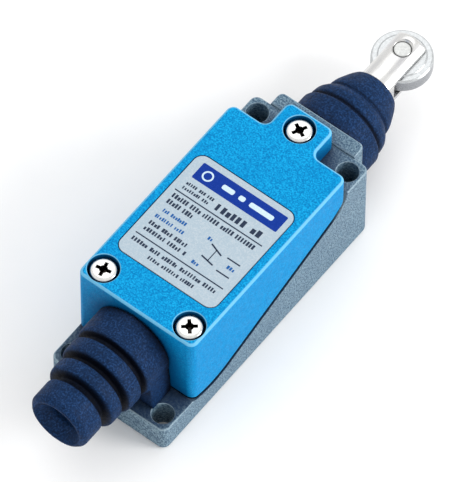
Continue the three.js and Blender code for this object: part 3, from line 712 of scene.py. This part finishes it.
def base_casting():
    base = block("base_casting", -HALF_WIDTH, HALF_WIDTH, -BASE_HALF, BASE_HALF, 0, EAR_HIGH)
    round_edges(base, CORNER_R, 6, upright)
    round_edges(base, 0.8, 4, level_at(0))
    round_edges(base, CAST_EDGE, 3, level_at(EAR_HIGH))
    sky = 30.0
    above = [
        (-BEYOND, EAR_LOW), (COVER_NEAR, EAR_LOW), *parting_line()[1:],
        (COVER_FAR + 0.5, sky), (-BEYOND, sky),
    ]
    cut_away(base, side_slab("above_base", above, HALF_WIDTH + 5))
    round_edges(base, CAST_EDGE, 3, lambda a, b, edge: (
        level_at(EAR_LOW)(a, b, edge)
        and max(a.y, b.y) < COVER_NEAR + TOUCH and a.y + b.y < 2 * COVER_NEAR - 0.05))

    collar = block("collar", -COLLAR_X, COLLAR_X, BASE_HALF - 0.05, COLLAR_FAR, 0, COLLAR_TOP)
    round_edges(collar, 1.2, 5, lambda a, b, edge: upright(a, b, edge) and a.y > COLLAR_FAR - 0.1)
    round_edges(collar, 0.35, 3, lambda a, b, edge: (
        level_at(COLLAR_TOP)(a, b, edge) or level_at(0)(a, b, edge)))
    core = block("collar_core", -COLLAR_X + 1, COLLAR_X - 1, BASE_HALF - 3, BASE_HALF + 2, 1, EAR_HIGH - 1)
    centre = (0, 0, PLUNGER_Z)
    neck = turned("neck", eased([
        (0, COLLAR_FAR - 1), (NECK_R, COLLAR_FAR - 1),
        (NECK_R, GROOVE_NEAR), (NECK_R - GROOVE_DEPTH, GROOVE_NEAR + 0.1),
        (NECK_R - GROOVE_DEPTH, GROOVE_FAR - 0.1), (NECK_R, GROOVE_FAR),
        (NECK_R, NECK_FAR), (0, NECK_FAR),
    ], 0.25, steps=3), AXIS_Y, centre, 64)
    weld(base, core, collar, neck)

    near = COVER_NEAR + 2.1
    cavity = block("cavity", -CAVITY_X, CAVITY_X, near, CAVITY_FAR, FLOOR, sky)
    round_edges(cavity, 1.0, 3, upright)
    for side in (-1, 1):
        x0, x1 = sorted((side * BOSS_X, side * INTO_WALL_X))
        cut_away(cavity, block("screw_boss", x0, x1, near - 1, SCREW_SPOTS["left"][1] + 2.7, 0, sky + 1))
        x0, x1 = sorted((side * RIB_X, side * INTO_WALL_X))
        for y in RIB_PLACES:
            cut_away(cavity, block("seat_rib", x0, x1, y, y + RIB_WIDE, 0, RIB_HEIGHT))
    chamber_r = STEM_R + 1.9
    cut_away(
        base, cavity,
        bar("chamber", centre, AXIS_Y, CAVITY_FAR - 1, BUSH_NEAR, chamber_r),
        block("chamber_mouth", -chamber_r, chamber_r, CAVITY_FAR - 1, CAVITY_FAR + 4, PLUNGER_Z, sky),
        bar("bush_bore", centre, AXIS_Y, BUSH_NEAR - 1, NECK_FAR + 1, BUSH_HOLE_R),
    )
    for x in (-HOLE_X, HOLE_X):
        cut_away(base, flared_hole("low_hole", x, -HOLE_Y, -1, EAR_LOW, HOLE_R, HOLE_EASE))
        cut_away(base, flared_hole("high_hole", x, HOLE_Y, -1, EAR_HIGH, HOLE_R, HOLE_EASE))
    for side, (x, y) in SCREW_SPOTS.items():
        cut_away(base, bar("thread", (x, y, 0), AXIS_Z, THREAD_BOTTOM[side], sky, SCREW_HOLE_R, 24))
    for x, y in SMALL_THREADS:
        cut_away(base, bar("small_thread", (x, y, 0), AXIS_Z, 1, FLOOR + 1, SMALL_THREAD_R, 20))
    smooth_flats(base)
    finished(base, base_enamel(), "housing", "casting_grey", "base_housing")


# ---- painted cover ----
SEAM_EXTRA = 0.6
SEAM_EASE_IN = 4.0
BOOT_GATE_R = 6.7
GASKET_INSET = 0.3
GASKET_EYE_R = 3.0
GASKET_GATE_X = 7.9
COLUMN_R = 2.35
RECESS_EASE = 0.24
PLATE_CORNER = 2.0


def cover_plan(name, inset, low, high):
    """A solid with the cover's plan: the main body and a narrower tongue between the high ears."""
    half = HALF_WIDTH - inset
    far = COVER_FAR - inset
    plan = block(name, -half, half, COVER_NEAR + inset, far, low, high)
    edit(plan)
    for side in (-1, 1):
        bpy.ops.mesh.select_all(action="SELECT")
        bpy.ops.mesh.bisect(plane_co=(side * (TONGUE_HALF - inset) * MM, 0, 0), plane_no=(1, 0, 0))
    bpy.ops.mesh.select_mode(type="FACE")
    bpy.ops.mesh.select_all(action="DESELECT")
    mesh = bmesh.from_edit_mesh(plan.data)
    for face in mesh.faces:
        middle = face.calc_center_median() / MM
        if face.normal.y > 0.9 and abs(middle.x) < 1:
            face.select_set(True)
    bmesh.update_edit_mesh(plan.data)
    reach = (TONGUE_END - inset - far) * MM
    bpy.ops.mesh.extrude_region_move(TRANSFORM_OT_translate={"value": (0, reach, 0)})
    bpy.ops.mesh.select_all(action="SELECT")
    bpy.ops.mesh.dissolve_limited(angle_limit=math.radians(1))
    bpy.ops.object.mode_set(mode="OBJECT")
    round_edges(plan, CORNER_R, 6, upright)
    return plan


def cover_edge():
    """Lower edge of the cover in side view, a little further from the base along the ramp."""
    line = parting_line(-0.5, 0.7)
    top = line[-1].y
    return [point + Vector((0, SEAM_EXTRA * min(1.0, (top - point.y) / SEAM_EASE_IN))) for point in line]


def seam_gasket():
    """Rubber frame squeezed between base and cover, with an eye round each lower cover screw."""
    edge = cover_edge()
    gap = 0.02
    low_line = [(y - gap, z + gap) for y, z in parting_line()]
    high_line = [(y + gap, z - gap) for y, z in edge]
    outline = [*low_line, (BEYOND, EAR_HIGH + gap), (BEYOND, edge[-1].y - gap), *reversed(high_line)]
    gasket = side_slab("seam_gasket", outline, HALF_WIDTH + 2)
    plan = cover_plan("gasket_plan", GASKET_INSET, -1, COVER_TOP)
    apply(gasket, "BOOLEAN", operation="INTERSECT", object=plan, solver="EXACT")
    remove(plan)
    room = block(
        "gasket_room", -CAVITY_X - 0.2, CAVITY_X + 0.2, COVER_NEAR + 2.2, COVER_FAR - 2, -2, COVER_TOP + 1)
    for side in ("left", "right"):
        x, y = SCREW_SPOTS[side]
        cut_away(room, bar("eye", (x, y, 0), AXIS_Z, -3, COVER_TOP + 2, GASKET_EYE_R, 32))
    gate = block(
        "gasket_gate", -GASKET_GATE_X, GASKET_GATE_X, COVER_NEAR - 1, COVER_NEAR + 4.7, -1, COVER_TOP)
    cut_away(gasket, room, gate)
    for x, y in SCREW_SPOTS.values():
        cut_away(gasket, bar("screw_way", (x, y, 0), AXIS_Z, -1, COVER_TOP, SCREW_HOLE_R + 0.3, 24))
    smooth_flats(gasket)
    rubber = boot_rubber("gasket_rubber", (0.0008, 0.0008, 0.003), 0.03)
    finished(gasket, rubber, "housing", "rubber_navy", "cover_gasket")


def cover_shell():
    cover = cover_plan("cover_shell", 0.0, 0, COVER_TOP)
    round_edges(cover, 0.7, 5, level_at(COVER_TOP))

    line = cover_edge()
    below = [(-BEYOND, line[0].y), *line, (BEYOND, line[-1].y), (BEYOND, -5), (-BEYOND, -5)]
    cut_away(cover, side_slab("below_cover", below, HALF_WIDTH + 5))

    ceiling = COVER_TOP - WALL
    room = block(
        "room", -HALF_WIDTH + WALL, HALF_WIDTH - WALL, COVER_NEAR + 2.2, COVER_FAR - 2.2, -1, ceiling)
    round_edges(room, 0.8, 3, upright)
    for side in ("left", "right"):
        x, y = SCREW_SPOTS[side]
        cut_away(
            room,
            bar("screw_column", (x, y, 0), AXIS_Z, -2, ceiling + 1, COLUMN_R, 32),
            bar("recess_column", (x, y, 0), AXIS_Z, ceiling - 2.2, ceiling + 1, RECESS_R + 0.9, 32),
        )
    cut_away(cover, room, arch_slab("boot_gate", COVER_NEAR - 1, COVER_NEAR + 3, BOOT_GATE_R, -1))

    gap = 0.22
    pocket = block(
        "pocket", plate_low.x - gap, plate_high.x + gap, plate_low.y - gap, plate_high.y + gap,
        COVER_TOP - 0.3, COVER_TOP + 1)
    round_edges(pocket, PLATE_CORNER + gap, 6, upright)
    cut_away(cover, pocket)
    for x, y in SCREW_SPOTS.values():
        cut_away(cover, flared_hole("recess", x, y, RECESS_SEAT, COVER_TOP, RECESS_R, RECESS_EASE))
        cut_away(cover, bar("screw_way", (x, y, 0), AXIS_Z, -1, COVER_TOP, SCREW_HOLE_R + 0.1, 24))
    smooth_flats(cover)
    finished(cover, cover_enamel(), "housing", "cover_blue", "front_cover")


# ---- nameplate with plain printed shapes ----
PLATE_TOP = plate_high.z - 0.04
INK = 0.012
RING_INNER = 0.85
RING_OUTER = 1.2


def on_plate(across, down):
    """A place on the plate, from its left edge and down from its head end, as shares of its size."""
    x = plate_low.x + across * (plate_high.x - plate_low.x)
    y = plate_high.y - down * (plate_high.y - plate_low.y)
    return x, y


def printed_bar(name, across0, across1, down0, down1, layer=0, ease=0.3):
    """One printed bar with rounded ends, a thin layer of ink."""
    x0, y1 = on_plate(across0, down0)
    x1, y0 = on_plate(across1, down1)
    bottom = PLATE_TOP + layer * INK
    ink = block(name, x0, x1, y0, y1, bottom, bottom + INK)
    round_edges(ink, ease * min(x1 - x0, y1 - y0), 2, upright)
    return ink


def printed_tick(across0, across1, down0, down1):
    """One small upright mark of print."""
    x0, y1 = on_plate(across0, down0)
    x1, y0 = on_plate(across1, down1)
    return block("tick", x0, x1, y0, y1, PLATE_TOP, PLATE_TOP + INK)


def printed_stroke(name, start, end, width):
    """One printed line between two places on the plate."""
    a, b = Vector(on_plate(*start)), Vector(on_plate(*end))
    across = (b - a).normalized().orthogonal() * width / 2
    corners = [a - across, b - across, b + across, a + across]
    return slab(name, [(x, y, PLATE_TOP) for x, y in corners], (0, 0, INK))


def printed_row(draw, across0, across1, down0, down1, pitch=0.026):
    """A row of small upright ticks in uneven groups, standing in for a line of print."""
    ticks = []
    across = across0
    left_in_group = draw.randint(3, 8)
    while across < across1 - pitch * 0.6:
        width = pitch * draw.uniform(0.5, 0.84)
        top = down0 + (down1 - down0) * draw.choice((0, 0, 0, 0.25))
        ticks.append(printed_tick(across, across + width, top, down1))
        across += pitch * draw.uniform(0.92, 1.12)
        left_in_group -= 1
        if left_in_group == 0:
            across += pitch * 0.9
            left_in_group = draw.randint(3, 8)
    return ticks


def nameplate():
    plate = block(
        "nameplate_foil", plate_low.x, plate_high.x, plate_low.y, plate_high.y, plate_low.z, PLATE_TOP)
    round_edges(plate, PLATE_CORNER, 6, upright)
    round_edges(plate, 0.06, 2, level_at(PLATE_TOP))
    smooth_flats(plate)
    finished(plate, label_foil(), "housing", "label_foil", "nameplate")

    band = printed_bar("nameplate_band", 0.085, 0.95, 0.052, 0.205, ease=0.06)
    finished(band, print_ink("band_ink", (0.001, 0.028, 0.25)), "housing", "label_foil")

    x, y = on_plate(0.19, 0.13)
    height = PLATE_TOP + INK
    ring = turned("band_ring", [
        (RING_INNER, height), (RING_OUTER, height), (RING_OUTER, height + INK),
        (RING_INNER, height + INK), (RING_INNER, height),
    ], AXIS_Z, (x, y, 0), 32)
    dots = [
        printed_bar("band_dash", start, end, 0.108, 0.150, layer=1)
        for start, end in ((0.34, 0.46), (0.51, 0.57), (0.62, 0.86))
    ]
    marks = gather("nameplate_marks", [ring, *dots])
    finished(marks, print_ink("pale_ink", (0.52, 0.66, 0.76)), "housing", "label_foil")

    draw = random.Random(7)
    dark = [
        printed_bar("rule", 0.05, 0.945, 0.352, 0.362),
        printed_bar("rule", 0.05, 0.945, 0.806, 0.816),
        *printed_row(draw, 0.09, 0.38, 0.250, 0.276, 0.022),
        *printed_row(draw, 0.09, 0.36, 0.296, 0.322, 0.022),
        *printed_row(draw, 0.42, 0.90, 0.262, 0.322, 0.052),
        *printed_row(draw, 0.07, 0.92, 0.384, 0.424),
        *printed_row(draw, 0.07, 0.34, 0.446, 0.486),
        *printed_row(draw, 0.08, 0.47, 0.668, 0.702),
        *printed_row(draw, 0.08, 0.50, 0.728, 0.762),
        *printed_row(draw, 0.06, 0.92, 0.846, 0.880),
        *printed_row(draw, 0.28, 0.74, 0.912, 0.942, 0.023),
        printed_stroke("contact", (0.61, 0.560), (0.74, 0.600), 0.34),
        printed_stroke("contact", (0.79, 0.585), (0.92, 0.585), 0.30),
        printed_stroke("contact", (0.61, 0.680), (0.74, 0.700), 0.34),
        printed_stroke("contact", (0.79, 0.715), (0.92, 0.715), 0.30),
        printed_stroke("contact", (0.68, 0.580), (0.68, 0.690), 0.2),
    ]
    print_dark = gather("nameplate_print", dark)
    finished(print_dark, print_ink("dark_ink", (0.018, 0.03, 0.06)), "housing", "label_foil")

    blue = [
        *printed_row(draw, 0.10, 0.34, 0.532, 0.562, 0.022),
        *printed_row(draw, 0.08, 0.40, 0.600, 0.630, 0.022),
        *printed_row(draw, 0.55, 0.61, 0.520, 0.550),
        *printed_row(draw, 0.84, 0.92, 0.630, 0.660),
        *printed_row(draw, 0.58, 0.66, 0.745, 0.775),
    ]
    print_blue = gather("nameplate_print_blue", blue)
    finished(print_blue, print_ink("blue_ink", (0.01, 0.09, 0.30)), "housing", "label_foil")


# ---- rubber boots ----
SLEEVE_VOXEL = 0.19
MOUTH_DEEP = 3.2
SKIRT_NEAR = -29.6
SKIRT_R = 8.4
SKIRT_FLARE = 0.7
BOOT_NECK_R = 6.4
BOOT_FLANGE_R = 7.6
BELLOWS_R = 9.45


def cable_sleeve():
    """Moulded sleeve: foot against the cover, shrinking rings and an end cap with the cable hole."""
    centre = (0, 0, CABLE_Z)
    foot = EAR_LOW + 0.2
    back = COVER_NEAR - 0.3
    rings = turned("cable_sleeve", [(0, CABLE_END), *eased([
        (5.9, CABLE_END), (6.7, CABLE_END + 0.9), (6.7, -42.2), (5.3, -41.9), (5.3, -40.6),
        (7.6, -40.3), (7.75, -39.7), (7.75, -37.3), (6.1, -37.0), (6.1, -35.9),
        (8.2, -35.6), (8.4, -35.0), (8.4, -32.2), (6.9, -31.9), (6.9, -30.8),
        (8.5, -30.5), (8.7, -29.9), (8.7, back),
    ], 0.3), (0, back)], AXIS_Y, centre, 72)
    skirt = arch_slab("skirt", SKIRT_NEAR, back, SKIRT_R, foot, SKIRT_FLARE)
    neck = arch_slab("boot_neck", COVER_NEAR - 0.6, COVER_NEAR + 2.6, BOOT_NECK_R, foot)
    flange = arch_slab("boot_flange", COVER_NEAR + 2.5, CABLE_INNER, BOOT_FLANGE_R, FLOOR + 1.2)
    sleeve = gather("cable_sleeve", [rings, skirt, neck, flange])
    apply(sleeve, "REMESH", mode="VOXEL", voxel_size=SLEEVE_VOXEL * MM)
    apply(sleeve, "SMOOTH", factor=0.5, iterations=2)
    mouth = turned("mouth", [(0, CABLE_END - 1), *eased([
        (MOUTH_R + 0.6, CABLE_END - 1), (MOUTH_R + 0.3, CABLE_END - 0.05), (MOUTH_R, CABLE_END + 0.4),
        (CABLE_HOLE_R + 0.2, CABLE_END + 2.4), (CABLE_HOLE_R - 0.1, CABLE_END + MOUTH_DEEP),
    ], 0.3), (0, CABLE_END + MOUTH_DEEP)], AXIS_Y, centre, 64)
    hole = bar("cable_hole", centre, AXIS_Y, CABLE_END - 1, CABLE_INNER + 1, CABLE_HOLE_R, 64)
    cut_away(sleeve, hole, mouth)
    smooth(sleeve, 50)
    finished(sleeve, boot_rubber(), "housing", "rubber_navy", "cable_boot")


def head_bellows():
    """Bellows between the neck's groove and the fork."""
    low = COLLAR_FAR + 0.3
    lip_r = FORK_R - 0.4
    outside = [
        (NECK_R + 0.25, low), (BELLOWS_R, low), (BELLOWS_R, 41.4), (8.2, 42.0), (8.9, 42.8), (8.65, 44.4),
        (7.9, 45.6), (7.0, 46.3), (7.35, 46.9), (7.05, 48.3), (6.45, 49.7), (5.75, 51.2),
        (5.0, LIP_FAR - 0.12), (lip_r, LIP_FAR - 0.1),
    ]
    inside = [
        (lip_r, LIP_NEAR + 0.15), (FORK_R + 0.22, LIP_NEAR + 0.1), (5.15, 49.8), (5.9, 48),
        (5.9, 46.8), (6.7, 45), (7.3, 43.4), (7.9, 41), (NECK_R + 0.25, 40.2), (NECK_R + 0.25, 38),
        (NECK_R - 0.4, 37.8), (NECK_R - 0.4, 37), (NECK_R + 0.25, 36.8),
    ]
    profile = eased([*outside, *inside], 0.4, closed=True)
    bellows = turned("head_bellows", [*profile, profile[0]], AXIS_Y, (0, 0, PLUNGER_Z), 96)
    smooth(bellows, 50)
    bellows.data.materials.clear()
    bellows.data.materials.append(boot_rubber("bellows_rubber"))
    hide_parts("head_boot")
    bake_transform(bellows)


# ---- cover screws ----
SCREW_TURN = {"left": 12, "right": 40, "top": 63}
SHANK = {"left": 19.0, "right": 19.0, "top": 7.0}
SHANK_R = 1.5
CROSS_REACH = 1.85
CROSS_HALF = 0.42


def cross_arm(quarter):
    """Tool for one slot of the cross, which narrows towards its bottom."""
    arm = block(
        "cross_arm", -CROSS_REACH, CROSS_REACH, -CROSS_HALF, CROSS_HALF, HEAD_H * 0.3, HEAD_H + 0.6)
    pick(arm)
    edit(arm)
    bpy.ops.mesh.select_all(action="DESELECT")
    mesh = bmesh.from_edit_mesh(arm.data)
    for vert in mesh.verts:
        if vert.co.z < HEAD_H * 0.5 * MM:
            vert.select_set(True)
    bmesh.update_edit_mesh(arm.data)
    bpy.ops.transform.resize(value=(0.5, 0.6, 1), center_override=(0, 0, 0))
    bpy.ops.object.mode_set(mode="OBJECT")
    arm.rotation_euler.z = math.pi / 2 * quarter
    settle(arm)
    return arm


def cover_screws():
    """Pan heads with a cross recess, each left at its own angle."""
    nickel = screw_nickel().material
    seat = RECESS_SEAT + 0.05
    for side, (x, y) in SCREW_SPOTS.items():
        length = SHANK[side]
        profile = [(0, -length), (SHANK_R - 0.4, -length), (SHANK_R, -length + 0.6), (SHANK_R, 0)] + eased([
            (HEAD_R, 0), (HEAD_R, HEAD_H * 0.62), (HEAD_R * 0.92, HEAD_H * 0.88), (HEAD_R * 0.72, HEAD_H),
            (0, HEAD_H),
        ], 0.4)
        screw = turned(f"cover_screw_{side}_pan", profile, AXIS_Z, (0, 0, 0), 64)
        arms = [cross_arm(quarter) for quarter in (0, 1)]
        pit = [(0, 0.5), (0.35, 0.6), (0.95, HEAD_H + 0.3), (0, HEAD_H + 0.3)]
        cut_away(screw, *arms, turned("centre_pit", pit, AXIS_Z, (0, 0, 0), 24))
        screw.rotation_euler.z = math.radians(SCREW_TURN[side])
        screw.location = Vector((x, y, seat)) * MM
        settle(screw)
        smooth(screw, 40)
        finished(screw, nickel, "housing", "bright_steel", f"cover_screw_{side}")


# ---- plunger, roller and axle ----
SHAFT_NEAR = 14.5
CLIP_NEAR = 23.9
CLIP_FAR = 25.0
CLIP_GROOVE_R = 2.5
HEAD_NEAR = 48.9
LIP_DEPTH = 0.65
SLOT_NEAR = 54.4
SLOT_HALF = 2.15
WHEEL_HALF = 2.0
HUB_R = 2.9


def plunger_bar():
    centre = (0, 0, PLUNGER_Z)
    shaft = turned("plunger_bar", [
        (0, SHAFT_NEAR), (STEM_R - 0.3, SHAFT_NEAR), (STEM_R, SHAFT_NEAR + 0.3), (STEM_R, CLIP_NEAR),
        (CLIP_GROOVE_R, CLIP_NEAR), (CLIP_GROOVE_R, CLIP_FAR), (STEM_R, CLIP_FAR), (STEM_R, HEAD_NEAR),
        (FORK_R - 0.4, HEAD_NEAR), (FORK_R, HEAD_NEAR + 0.4),
        (FORK_R, LIP_NEAR - 0.1), (FORK_R - LIP_DEPTH, LIP_NEAR),
        (FORK_R - LIP_DEPTH, LIP_FAR), (FORK_R, LIP_FAR + 0.05),
        *eased([(FORK_R, 54), (FORK_R, FORK_END), (0, FORK_END)], 0.7)[1:],
    ], AXIS_Y, centre, 96)
    for side in (-1, 1):
        x0, x1 = sorted((side * FORK_X, side * 7))
        flat = block("flat", x0, x1, LIP_FAR, FORK_END + 2, PLUNGER_Z - 7, PLUNGER_Z + 7)
        cut_away(shaft, flat)
    slot = block("slot", -5, 5, SLOT_NEAR, FORK_END + 1, PLUNGER_Z - SLOT_HALF, PLUNGER_Z + SLOT_HALF)
    round_edges(slot, 0.4, 3, lambda a, b, edge: (
        abs(a.y - b.y) < TOUCH and a.y < SLOT_NEAR + 0.6 and abs(a.z - b.z) < TOUCH))
    top = PLUNGER_Z + FORK_R
    eye_r = PIN_R + 0.12
    eye = turned("eye", [
        (0, top - 10), (eye_r, top - 10), (eye_r, top - 0.5), (eye_r + 0.3, top - 0.15),
        (eye_r + 0.3, top + 1), (0, top + 1),
    ], AXIS_Z, (0, ROLLER_Y, 0), 48)
    cut_away(
        shaft, slot, eye,
        bar("spring_bore", centre, AXIS_Y, 15.5, 22.5, 1.9, 32),
        bar("bore_mouth", centre, AXIS_Y, 13.5, 16.1, 1.35, 32),
    )
    apply(shaft, "BEVEL", width=0.09 * MM, segments=2, limit_method="ANGLE", angle_limit=math.radians(50))
    smooth_flats(shaft)
    finished(shaft, drawn_steel(), "plunger", "bright_steel", "plunger_fork")


def roller_wheel():
    """Wheel with a raised hub and a shallow step inside its rim."""
    hole = PIN_R + 0.1
    face = [
        (hole, WHEEL_HALF + 0.08), (HUB_R, WHEEL_HALF + 0.08), (HUB_R + 0.1, WHEEL_HALF),
        (ROLLER_R - 1.5, WHEEL_HALF), (ROLLER_R - 1.3, WHEEL_HALF - 0.25),
        (ROLLER_R - 0.35, WHEEL_HALF - 0.25), (ROLLER_R, WHEEL_HALF - 0.6),
    ]
    other = [(radius, -along) for radius, along in reversed(face)]
    profile = eased([*face, *other], 0.12, closed=True, steps=3)
    wheel = turned("roller_wheel", [*profile, profile[0]], AXIS_Z, (0, ROLLER_Y, PLUNGER_Z), 96)
    smooth(wheel, 40)
    steel = bright_nickel("ground_roller", 0.26, (0.58, 0.60, 0.61), 0.85)
    # painted shade: the upright rim darker than the level faces
    steel.tint(steel.slope(0.35, 0.05, 0.85), (0.30, 0.31, 0.33))
    finished(wheel, steel.material, "roller", "bright_steel", "roller")


def axle_pin():
    half = FORK_R - 0.4
    end = eased([(PIN_R, 0), (PIN_R, half), (PIN_R * 0.5, half + 0.02), (0, half + 0.03)], 0.25)
    other = [(radius, -along) for radius, along in reversed(end)]
    pin = turned("axle_pin", [*other, *end], AXIS_Z, (0, ROLLER_Y, PLUNGER_Z), 64)
    smooth(pin, 40)
    steel = bright_nickel("axle_steel", 0.3, (0.58, 0.59, 0.58))
    finished(pin, steel.material, "plunger", "bright_steel", "roller_pin")


# ---- springs ----
WIRE_SIDES = 10
COIL_STEPS = 24


def coil(name, start, end, radius, wire, turns):
    """A round wire wound along Y about the plunger's axis."""
    clear_selection()
    bpy.ops.mesh.primitive_circle_add(vertices=WIRE_SIDES, radius=wire / 2 * MM, location=(radius * MM, 0, 0))
    spring = bpy.context.active_object
    spring.name = name
    settle(spring)
    length = end - start - wire
    apply(
        spring, "SCREW", axis="Y", angle=FULL_TURN, iterations=turns,
        steps=COIL_STEPS, render_steps=COIL_STEPS, screw_offset=length / turns * MM)
    spring.location = Vector((0, start + wire / 2, PLUNGER_Z)) * MM
    settle(spring)
    pick(spring)
    edit(spring)
    bpy.ops.mesh.remove_doubles(threshold=MERGE_GAP * MM)
    bpy.ops.mesh.select_all(action="DESELECT")
    bpy.ops.mesh.select_mode(type="EDGE")
    bpy.ops.mesh.select_non_manifold()
    bpy.ops.mesh.fill()
    bpy.ops.mesh.select_all(action="SELECT")
    bpy.ops.mesh.normals_make_consistent(inside=False)
    bpy.ops.object.mode_set(mode="OBJECT")
    smooth(spring, 50)
    return spring


def springs():
    """Four coils: near and far end, radius, wire, turns, body, joint, held end, share of length kept."""
    wire = bright_nickel("spring_wire", 0.3).material
    wound = (
        ("return", 13.3, 23.9, 3.9, 0.7, 6, "housing", "plunger_slide", 13.3, 0.48),
        ("overtravel", 16.7, 22.4, 1.35, 0.35, 5, "plunger", "plunger_slide", 22.4, 0.42),
        ("carrier", -13.2, -9.1, 1.7, 0.4, 5, "housing", "carrier_slide", -13.2, 0.46),
        ("contact", -4.1, -0.65, 1.1, 0.35, 5, "carrier", "carrier_slide", -4.1, 1.0),
    )
    for kind, start, end, radius, size, turns, body, joint, anchor, keep in wound:
        spring = coil(f"{kind}_coil", start, end, radius, size, turns)
        finished(spring, wire, body, "bright_steel", f"{kind}_spring")
        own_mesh(spring)


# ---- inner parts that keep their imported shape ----
def dress_inner_parts():
    steel = bright_nickel("small_steel", 0.28).material
    brass = bush_brass()
    seal = boot_rubber("seal_rubber", (0.004, 0.006, 0.012), 0.2)
    block_plastic = moulded_plastic("block_plastic", (0.02, 0.022, 0.026))
    carrier_plastic = moulded_plastic("carrier_plastic", (0.42, 0.04, 0.025))
    finishes = {
        "bright_steel": steel, "brass": brass, "rubber_navy": seal,
        "block_black": block_plastic, "carrier_red": carrier_plastic,
    }
    slots = {part["node"]: part["material_slot"] for part in frame["record"]["subparts"]}
    for node, part in frame["nodes"].items():
        if part.hide_render:
            continue
        part.data.materials.clear()
        part.data.materials.append(finishes[slots[node]])


add_camera()
add_studio()
base_casting()
cover_shell()
seam_gasket()
nameplate()
cable_sleeve()
head_bellows()
cover_screws()
plunger_bar()
roller_wheel()
axle_pin()
springs()
dress_inner_parts()
